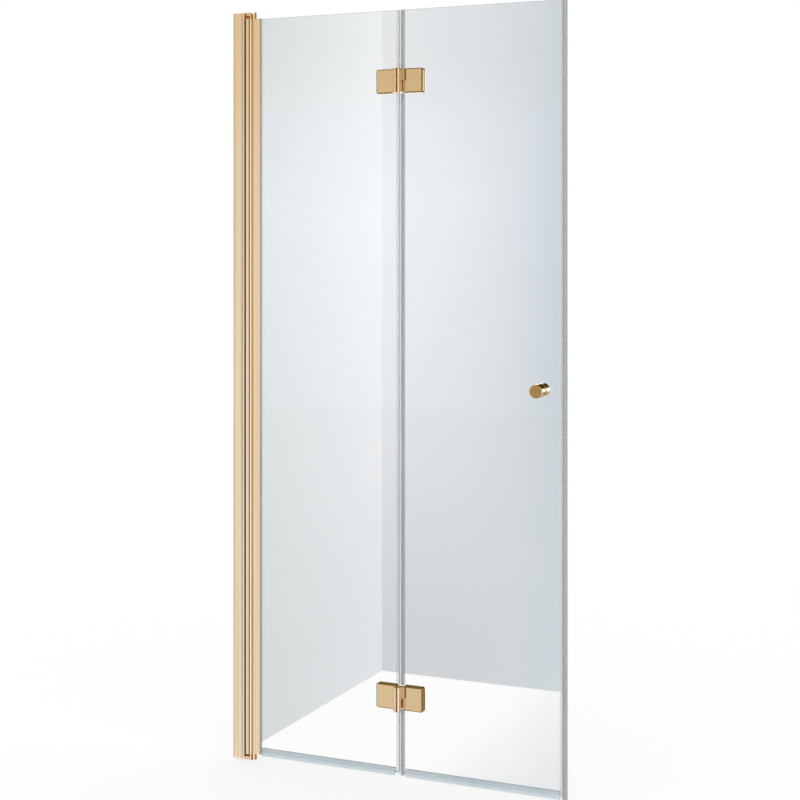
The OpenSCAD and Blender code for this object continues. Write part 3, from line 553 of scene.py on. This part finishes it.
def buildDoorProfile(size, node):
    low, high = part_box(node)
    half, tip = high.y / mm, high.x / mm
    nose, shoulder = size["noseRadius"], size["shoulderRadius"]
    clamp, edge = size["clampHalf"], size["clampEdge"]
    shoulderX, backTip = pivotX - size["shoulderOff"], pivotX + size["backReach"]
    flatX = pivotX - circleHalfHeight(nose, half)
    bm, pen = penDown(shoulderX, half, low.z)
    pen = penLine(bm, pen, flatX, half)
    spread = 360 - 2 * (180 - math.degrees(math.atan2(half, pivotX - flatX)))
    pen = penArc(bm, pen, pivotX, 0, spread, size["noseSteps"])
    pen = penLine(bm, pen, shoulderX, -half)
    pen = penArc(bm, pen, shoulderX, -clamp, 90, size["shoulderSteps"])
    pen = penLine(bm, pen, tip - edge, -clamp)
    pen = penArc(bm, pen, tip - edge, edge - clamp, 90, size["edgeSteps"])
    for x, y in ((tip, -size["slotHalf"]), (size["slotX"], -size["slotHalf"]),
                 (size["slotX"], size["slotHalf"]), (backTip, size["slotHalf"]), (backTip, clamp - edge)):
        pen = penLine(bm, pen, x, y)
    pen = penArc(bm, pen, backTip - edge, clamp - edge, 90, size["edgeSteps"])
    pen = penLine(bm, pen, shoulderX + shoulder, clamp)
    penArc(bm, pen, shoulderX, clamp, 90, size["shoulderSteps"])
    # the chamber round the pivot, open from end to end
    wall = size["wall"]
    inner, innerHalf, innerShoulder = nose - wall, half - wall, shoulder - wall
    turnX = circleHalfHeight(innerShoulder, size["chamberHalf"] - clamp)
    drop = math.degrees(math.atan2(size["chamberHalf"] - clamp, turnX))
    innerX = pivotX - circleHalfHeight(inner, innerHalf)
    hole = bm.verts.new((innerX * mm, innerHalf * mm, low.z))
    pen = penLine(bm, hole, shoulderX, innerHalf)
    pen = penArc(bm, pen, shoulderX, clamp, drop - 90, size["shoulderSteps"])
    for x, y in ((size["chamberX"], size["chamberHalf"]), (size["chamberX"], -size["chamberHalf"]),
                 (shoulderX + turnX, -size["chamberHalf"])):
        pen = penLine(bm, pen, x, y)
    pen = penArc(bm, pen, shoulderX, -clamp, drop - 90, size["shoulderSteps"])
    pen = penLine(bm, pen, innerX, -innerHalf)
    spread = 2 * math.degrees(math.atan2(innerHalf, pivotX - innerX))
    penArc(bm, pen, pivotX, 0, -spread, size["noseSteps"])
    raiseBar(bm, high.z - low.z)
    easeEnds(bm, low, high, size["endBevel"])
    profile = makePiece(pieceName(node), bm, [satinGold, edgeReflectionGold, paintedShadeGold])
    # countersunk holes for the two bush screws, cut a little past both faces of the wall
    rise = size["screwRise"] * mm
    cutter = bmesh.new()
    for z in (low.z + rise, high.z - rise):
        cone = bmesh.ops.create_cone(cutter, cap_ends=True, segments=size["sinkSides"],
                                     radius1=size["screwShank"] * mm, radius2=size["screwHead"] * mm,
                                     depth=(wall + 2 * size["sinkPast"]) * mm)["verts"]
        bmesh.ops.rotate(cutter, verts=cone, cent=(0, 0, 0),
                         matrix=Matrix.Rotation(math.radians(-90), 3, "X"))
        place = ((shoulderX - size["screwOff"]) * mm, high.y - wall / 2 * mm, z)
        bmesh.ops.translate(cutter, verts=cone, vec=place)
    carve(profile, makePiece("countersinks", cutter, [satinGold]))
    gradeExtrusion(profile, extrusionGrades)
    # the nose is satin again, but for its two flanks, which keep the painted shade of the gap
    for face in profile.data.polygons:
        x, y = face.center.x / mm, face.center.y / mm
        if x < flatX and abs(math.hypot(x - pivotX, y) - nose) < size["noseWithin"]:
            face.material_index = 2 if abs(y) > size["oiledFrom"] else 0
    standFor(profile, node)


buildDoorProfile(doorProfile, "door_profile")
print("door profile made")


# bearing blocks: arm and boss polished, every edge eased
bearingBlock = {"edge": 0.5}
for node in ("lower_bearing_block", "upper_bearing_block"):
    bm = fromCad(node)
    easeEdges(bm, bearingBlock["edge"])
    standFor(makePiece(pieceName(node), bm, [polishedGold]), node)
print("bearing blocks made")


# hinge leaves and clamps: a brushed face, polished edges and barrel, and a darker tone of painted reflection on
# the side bevels, whose normals point outwards by a share between the two of bevelLean
foldHinge = {"edge": 0.35, "barrelRadius": 9.5, "barrelRoom": 1.0, "bevelLean": (0.5, 0.85)}
foldAxis = hingeAxes["fold"]


def gradeLeaf(bm, outward, size):
    barrel = (size["barrelRadius"] + size["barrelRoom"]) * mm
    least, most = size["bevelLean"]
    for face in bm.faces:
        if abs(face.calc_center_median().x - foldAxis.x) <= barrel:
            continue
        towards = face.normal.y * outward
        if towards > meshing["straightOn"]:
            face.material_index = 1
        elif abs(face.normal.x) > least and least < towards < most:
            face.material_index = 2


for end in ("lower", "upper"):
    for side in ("left", "right"):
        for kind, outward in (("leaf", -1), ("clamp", 1)):
            node = "_".join((end, "hinge", side, kind))
            bm = fromCad(node)
            easeEdges(bm, foldHinge["edge"])
            gradeLeaf(bm, outward, foldHinge)
            standFor(makePiece(pieceName(node), bm, [polishedGold, brushedGold, bevelReflectionGold]), node)
print("fold hinges made")


# knobs: brushed faces, polished sides and rims
knob = {"edge": 0.25}
for node in ("outer_knob", "inner_knob"):
    bm = fromCad(node)
    easeEdges(bm, knob["edge"])
    for face in bm.faces:
        if abs(face.normal.y) > meshing["straightOn"]:
            face.material_index = 1
    standFor(makePiece(pieceName(node), bm, [polishedGold, turnedGold]), node)
print("knobs made")


# screws, which show from inside the shower
screws = {"edge": 0.2}
for node in ("post_screws", "bearing_block_screws", "lower_hinge_left_screws", "upper_hinge_left_screws",
             "lower_hinge_right_screws", "upper_hinge_right_screws"):
    bm = fromCad(node)
    easeEdges(bm, screws["edge"], meshing["screwEaseAbove"])
    standFor(makePiece(pieceName(node), bm, [platedScrew]), node)
print("screws made")


# panes: clear faces, ground edges with a small arris all round, and a plain hole for each sleeve; a node's
# box taller than pairBeyond sleeve radii holds a pair, and the drill is drillReach times as long as the
# glass is thick
pane = {"arris": 0.5, "holeRadius": 6.0, "holeSides": 48, "pairBeyond": 3.0, "drillReach": 4.0}


def buildPane(size, node, sleeves):
    low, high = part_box(node)
    bm, pen = penDown(low.x / mm, low.y / mm, low.z)
    for x, y in ((high.x, low.y), (high.x, high.y), (low.x, high.y), (low.x, low.y)):
        pen = penLine(bm, pen, x / mm, y / mm)
    raiseBar(bm, high.z - low.z)
    easeEdges(bm, size["arris"], meshing["squareAbove"], segments=1)
    sheet = makePiece(pieceName(node), bm, [floatGlass, groundEdge])
    drill = bmesh.new()
    holeRadius = size["holeRadius"] * mm
    for sleeve in sleeves:
        start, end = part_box(sleeve)
        radius = (end.x - start.x) / 2
        paired = end.z - start.z >= size["pairBeyond"] * radius
        heights = (start.z + radius, end.z - radius) if paired else (start.z + radius,)
        for z in heights:
            hole = bmesh.ops.create_cone(drill, cap_ends=True, segments=size["holeSides"],
                                         radius1=holeRadius, radius2=holeRadius,
                                         depth=size["drillReach"] * (high.y - low.y))["verts"]
            bmesh.ops.rotate(drill, verts=hole, cent=(0, 0, 0),
                             matrix=Matrix.Rotation(math.radians(90), 3, "X"))
            bmesh.ops.translate(drill, verts=hole, vec=(start.x + radius, (low.y + high.y) / 2, z))
    carve(sheet, makePiece("drill", drill, [groundEdge]))
    for face in sheet.data.polygons:
        face.material_index = 1 if abs(face.normal.y) < meshing["straightOn"] else 0
    standFor(sheet, node)


buildPane(pane, "hinge_pane", ("lower_hinge_left_sleeves", "upper_hinge_left_sleeves"))
buildPane(pane, "fold_pane", ("lower_hinge_right_sleeves", "upper_hinge_right_sleeves", "knob_sleeve"))
print("panes made")


# seals and gaskets: joined skins, so that their curves shade smoothly; the upright seals' clip and bulb,
# beyond a place across the door, take a greyer tone of painted shade
softStrips = {"smoothBelow": 40, "clipFrom": 461.5, "bulbFrom": 873.0}
for node, materials, shadedFrom in (
        ("hinge_pane_bottom_seal", [sweepVinyl], None), ("fold_pane_bottom_seal", [sweepVinyl], None),
        ("fold_seal", [sealVinyl, paintedShadeVinyl], softStrips["clipFrom"]),
        ("strike_seal", [sealVinyl, paintedShadeVinyl], softStrips["bulbFrom"]),
        ("front_glazing_gasket", [gasketRubber], None), ("back_glazing_gasket", [gasketRubber], None)):
    strip = makePiece(pieceName(node), fromCad(node), materials, softStrips["smoothBelow"])
    for face in strip.data.polygons:
        if shadedFrom is not None and face.center.x / mm > shadedFrom:
            face.material_index = 1
    standFor(strip, node)
print("seals made")


# the stage, in millimetres: a white floor, and pale backdrops that show only through the glass
stage = {
    "floorDrop": 0.5, "floorReach": 8000.0,       # below the door's lowest point, and each way on the floor
    "backdropX": 2.0, "backdropNear": 30.0, "backdropDepth": 894.0,   # from the wall face and from the glass
    "backdropTop": 2600.0, "backdropReach": 2200.0, "innerFloorRise": 1.0, "rampHeight": 2000.0,
    "floorGlow": 0.7, "backdropGlow": 1.04,       # the camera's share of plain white, and a strength
}
floorZ = cadBox[0].z - stage["floorDrop"] * mm


def levelOutline(start, end, z):
    return [(start[0], start[1], z), (end[0], start[1], z), (end[0], end[1], z), (start[0], end[1], z)]


def uprightOutline(start, end, low, high):
    return [(*start, low), (*end, low), (*end, high), (*start, high)]


def stagePlane(name, outline, material):
    mesh = bpy.data.meshes.new(name)
    bm = bmesh.new()
    bm.faces.new([bm.verts.new(corner) for corner in outline])
    bm.to_mesh(mesh)
    bm.free()
    mesh.materials.append(material)
    plane = bpy.data.objects.new(name, mesh)
    scene.collection.objects.link(plane)
    return plane


# white paint; to the camera it is mostly a white glow, so that the door's shadow stays pale
def whiteFloorPaint(share):
    material, tree = newMaterial("whiteFloorPaint")
    paint = addNode(tree, "ShaderNodeBsdfDiffuse", {"Color": linearColour("#FFFFFF")})
    glow = addNode(tree, "ShaderNodeEmission", {"Color": linearColour("#FFFFFF"), "Strength": 1.0})
    path = addNode(tree, "ShaderNodeLightPath")
    seen = addNode(tree, "ShaderNodeMath", {"operation": "MULTIPLY", 1: share},
                   {0: path.outputs["Is Camera Ray"]})
    closeMaterial(tree, addNode(tree, "ShaderNodeMixShader", links={
        0: seen.outputs[0], 1: paint.outputs[0], 2: glow.outputs[0]}))
    return material


reach = stage["floorReach"] * mm
floor = stagePlane("floor", levelOutline((-reach, -reach), (reach, reach), floorZ),
                   whiteFloorPaint(stage["floorGlow"]))
floor.visible_glossy = False

wallX, near, depth = stage["backdropX"] * mm, stage["backdropNear"] * mm, stage["backdropDepth"] * mm
top, wide = stage["backdropTop"] * mm, stage["backdropReach"] * mm
innerZ = floorZ + stage["innerFloorRise"] * mm

# a backdrop's tone near the door and its tone further in, mixed along an axis from and to places in metres;
# each tone dims towards the floor and the ceiling by levels that are (height in metres, level); this is painted
# shade of a room's walls and floor
allOne = [(0.0, 1.0), (stage["rampHeight"] * mm, 1.0)]
sideTones = {
    "axis": "Y", "from": near, "to": depth, "bend": 1.0,
    "near": ("#DFE5E6", [(0.2, 0.855), (1.4, 1.0), (1.9, 0.885)]),
    "far": ("#F4F7F9", [(0.2, 0.83), (1.4, 1.0), (1.9, 0.93)]),
}
backTones = {
    "axis": "X", "from": 0.0, "to": 0.568, "bend": 1.7,
    "near": ("#ECEFF2", [(0.1, 0.728), (0.9, 0.917), (1.44, 1.0), (1.9, 0.9)]),
    "far": ("#CAD2D7", [(0.1, 1.033), (0.9, 0.982), (1.44, 1.022), (1.9, 1.015)]),
}
innerFloorTones = {
    "axis": "X", "from": 0.45, "to": 1.2, "bend": 1.0,
    "near": ("#FCFCFC", allOne),
    "far": ("#CBD0D4", allOne),
}


# the glow is clear to light that has bounced, so that a backdrop lights and mirrors nothing
def backdropGlow(name, look):
    material, tree = newMaterial(name)
    coords = addNode(tree, "ShaderNodeTexCoord")
    place = addNode(tree, "ShaderNodeSeparateXYZ", links={"Vector": coords.outputs["Object"]})
    along = addNode(tree, "ShaderNodeMapRange", {"From Min": look["from"], "From Max": look["to"]},
                    {"Value": place.outputs[look["axis"]]})
    bent = addNode(tree, "ShaderNodeMath", {"operation": "POWER", 1: look["bend"]}, {0: along.outputs[0]})
    full = stage["rampHeight"] * mm
    rise = addNode(tree, "ShaderNodeMapRange", {"From Min": 0.0, "From Max": full},
                   {"Value": place.outputs["Z"]})
    graded = []
    for tone, levels in (look["near"], look["far"]):
        ramp = addNode(tree, "ShaderNodeValToRGB", links={"Fac": rise.outputs[0]})
        setRamp(ramp, [(height / full, tone, level) for height, level in levels])
        graded.append(ramp.outputs["Color"])
    across = addNode(tree, "ShaderNodeMix", {"data_type": "RGBA"},
                     {"Factor": bent.outputs[0], mixFirst: graded[0], mixSecond: graded[1]})
    glow = addNode(tree, "ShaderNodeEmission", {"Strength": stage["backdropGlow"]},
                   {"Color": across.outputs[mixed]})
    path = addNode(tree, "ShaderNodeLightPath")
    bounced = addNode(tree, "ShaderNodeMath", {"operation": "ADD", "use_clamp": True},
                      {0: path.outputs["Glossy Depth"], 1: path.outputs["Diffuse Depth"]})
    clear = addNode(tree, "ShaderNodeBsdfTransparent")
    closeMaterial(tree, addNode(tree, "ShaderNodeMixShader", links={
        0: bounced.outputs[0], 1: glow.outputs[0], 2: clear.outputs[0]}))
    return material


for name, outline, tones in (
        ("sideBackdrop", uprightOutline((wallX, near), (wallX, depth), floorZ, top), sideTones),
        ("backBackdrop", uprightOutline((wallX, depth), (wide, depth), floorZ, top), backTones),
        ("innerFloor", levelOutline((wallX, near), (wide, depth), innerZ), innerFloorTones)):
    sheet = stagePlane(name, outline, backdropGlow(name + "Glow", tones))
    sheet.visible_camera = False
    sheet.visible_glossy = False
    sheet.visible_diffuse = False
    sheet.visible_shadow = False


# studio light: plain white on everything, and what gloss reflects set out by direction
studio = {
    "round": [  # bands: from and to, in degrees round from +X, colour, level
        (-180, -128, "#FFFFFF", 1.12), (-124, -110, "#FFFFFF", 1.03), (-104, -62, "#8E7852", 1.0),
        (-54, -14, "#DCE6FF", 1.9), (-6, 75, "#C9A065", 1.0), (100, 150, "#A88659", 1.0),
        (166, 180, "#FFFFFF", 1.12),
    ],
    "behind": [  # degrees above the horizon, for what lies straight behind the door
        (-30, "#E8DCC4", 0.8), (-11, "#E8DCC4", 0.85), (-7, "#FFFFFF", 2.4), (6, "#FFFFFF", 2.4),
        (11, "#4A3A1C", 1.0), (30, "#4A3A1C", 1.0),
    ],
    "behindFrom": 0.87, "behindTo": 0.91,   # share of the direction that points along +Y
    "ceilingFrom": 0.08, "ceilingTo": 0.10, "ceiling": "#F3E9D2",   # the warmer light from just above level
    "steepFrom": 0.78, "steepTo": 0.84, "steepFront": "#89794F", "steepBack": "#FFFFFF",
    "steepSplitFrom": -0.06, "steepSplitTo": 0.06,   # from the front's tone to the back's
    "mirroredFrom": 0.5,   # glossy bounces: none for what the camera or diffuse light sees
}


def buildStudio(look):
    world = bpy.data.worlds.new("studio")
    scene.world = world
    world.use_nodes = True
    world.cycles.sampling_method = "NONE"   # the light is even, so no ray is aimed at it
    tree = world.node_tree
    tree.nodes.clear()
    coords = addNode(tree, "ShaderNodeTexCoord")
    way = addNode(tree, "ShaderNodeSeparateXYZ", links={"Vector": coords.outputs["Generated"]})
    turn = addNode(tree, "ShaderNodeMath", {"operation": "ARCTAN2"},
                   {0: way.outputs["Y"], 1: way.outputs["X"]})
    share = addNode(tree, "ShaderNodeMapRange", {"From Min": -math.pi, "From Max": math.pi},
                    {"Value": turn.outputs[0]})
    around = addNode(tree, "ShaderNodeValToRGB", links={"Fac": share.outputs[0]})
    setRamp(around, [((degrees + 180) / 360, code, level)
                     for start, end, code, level in look["round"] for degrees in (start, end)])
    # warmer light from above level, all round
    lift = addNode(tree, "ShaderNodeMapRange",
                   {"From Min": look["ceilingFrom"], "From Max": look["ceilingTo"]},
                   {"Value": way.outputs["Z"]})
    warmed = addNode(tree, "ShaderNodeMix",
                     {"data_type": "RGBA", "blend_type": "MULTIPLY",
                      mixSecond: linearColour(look["ceiling"])},
                     {"Factor": lift.outputs[0], mixFirst: around.outputs["Color"]})
    # straight behind, set out by height
    low, high = [math.sin(math.radians(look["behind"][i][0])) for i in (0, -1)]
    rise = addNode(tree, "ShaderNodeMapRange", {"From Min": low, "From Max": high},
                   {"Value": way.outputs["Z"]})
    behind = addNode(tree, "ShaderNodeValToRGB", links={"Fac": rise.outputs[0]})
    setRamp(behind, [((math.sin(math.radians(degrees)) - low) / (high - low), code, level)
                     for degrees, code, level in look["behind"]])
    back = addNode(tree, "ShaderNodeMapRange", {"From Min": look["behindFrom"], "From Max": look["behindTo"]},
                   {"Value": way.outputs["Y"]})
    backed = addNode(tree, "ShaderNodeMix", {"data_type": "RGBA"},
                     {"Factor": back.outputs[0], mixFirst: warmed.outputs[mixed],
                      mixSecond: behind.outputs["Color"]})
    # nearly overhead and underfoot
    height = addNode(tree, "ShaderNodeMath", {"operation": "ABSOLUTE"}, {0: way.outputs["Z"]})
    steep = addNode(tree, "ShaderNodeMapRange", {"From Min": look["steepFrom"], "From Max": look["steepTo"]},
                    {"Value": height.outputs[0]})
    split = addNode(tree, "ShaderNodeMapRange",
                    {"From Min": look["steepSplitFrom"], "From Max": look["steepSplitTo"]},
                    {"Value": way.outputs["Y"]})
    over = addNode(tree, "ShaderNodeMix",
                   {"data_type": "RGBA", mixFirst: linearColour(look["steepFront"]),
                    mixSecond: linearColour(look["steepBack"])},
                   {"Factor": split.outputs[0]})
    room = addNode(tree, "ShaderNodeMix", {"data_type": "RGBA"},
                   {"Factor": steep.outputs[0], mixFirst: backed.outputs[mixed],
                    mixSecond: over.outputs[mixed]})
    path = addNode(tree, "ShaderNodeLightPath")
    mirrored = addNode(tree, "ShaderNodeMath", {"operation": "GREATER_THAN", 1: look["mirroredFrom"]},
                       {0: path.outputs["Glossy Depth"]})
    seen = addNode(tree, "ShaderNodeMix", {"data_type": "RGBA", mixFirst: linearColour("#FFFFFF")},
                   {"Factor": mirrored.outputs[0], mixSecond: room.outputs[mixed]})
    glow = addNode(tree, "ShaderNodeBackground", {"Strength": 1.0}, {"Color": seen.outputs[mixed]})
    addNode(tree, "ShaderNodeOutputWorld", links={"Surface": glow.outputs[0]})


buildStudio(studio)
print("stage set")
